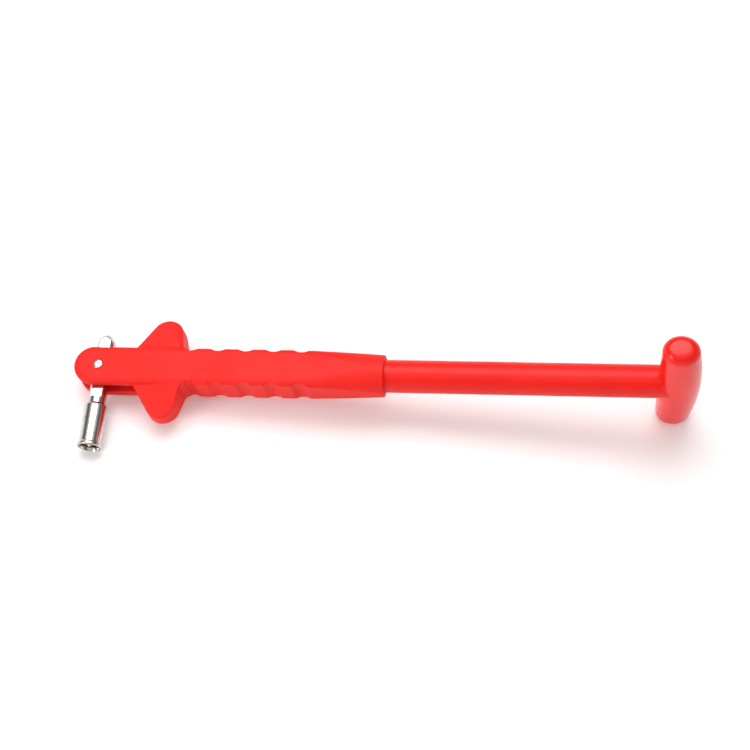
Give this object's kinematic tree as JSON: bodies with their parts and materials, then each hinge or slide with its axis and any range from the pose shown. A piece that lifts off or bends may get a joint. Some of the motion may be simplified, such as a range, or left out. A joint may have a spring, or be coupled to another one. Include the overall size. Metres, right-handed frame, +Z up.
{
  "type": "tyre valve puller lever",
  "caption": "Moulded grip on a steel bar with a T-handle, a fork, fulcrum wings and a swivelling threaded socket for fitting tubeless tyre valves.",
  "frame": {"origin": "bottom centre of the bounding box, on the surface that the tool lies on", "axes": "+X along the tool from the fork to the T-handle, -Y to the side that the socket stands out on, +Z up from the surface; the tool lies on its fork, the lower end of its T-handle and the rim of its socket, so its bar rises towards the T-handle"},
  "size_m": [0.2738, 0.0606, 0.0722],
  "materials": {
    "red_plastic": "smooth satin moulding",
    "plated_steel": "bright nickel-chrome plate",
    "bright_steel": "drawn bright",
    "plain_steel": "plain drawn bar",
    "brass": "turned and threaded"
  },
  "bodies": {
    "handle": {"grip_body": "red_plastic", "pivot_pin": "bright_steel", "core_bar": "plain_steel", "key_pin": "plain_steel", "cross_bar": "plain_steel", "lock_pin": "plain_steel", "shaft_sleeve": "red_plastic", "t_handle": "red_plastic"},
    "swivel": {"swivel_rod": "plated_steel", "valve_socket": "plated_steel", "thread_insert": "brass", "core_pin": "bright_steel"}
  },
  "joints": [
    {"name": "socket_swing", "type": "hinge", "parent": "handle", "child": "swivel", "pos_m": [-0.12519, 0.0067, 0.01005], "axis": [-0.1044, -0.1244, 0.9867], "range_deg": [-212, 40]}
  ]
}
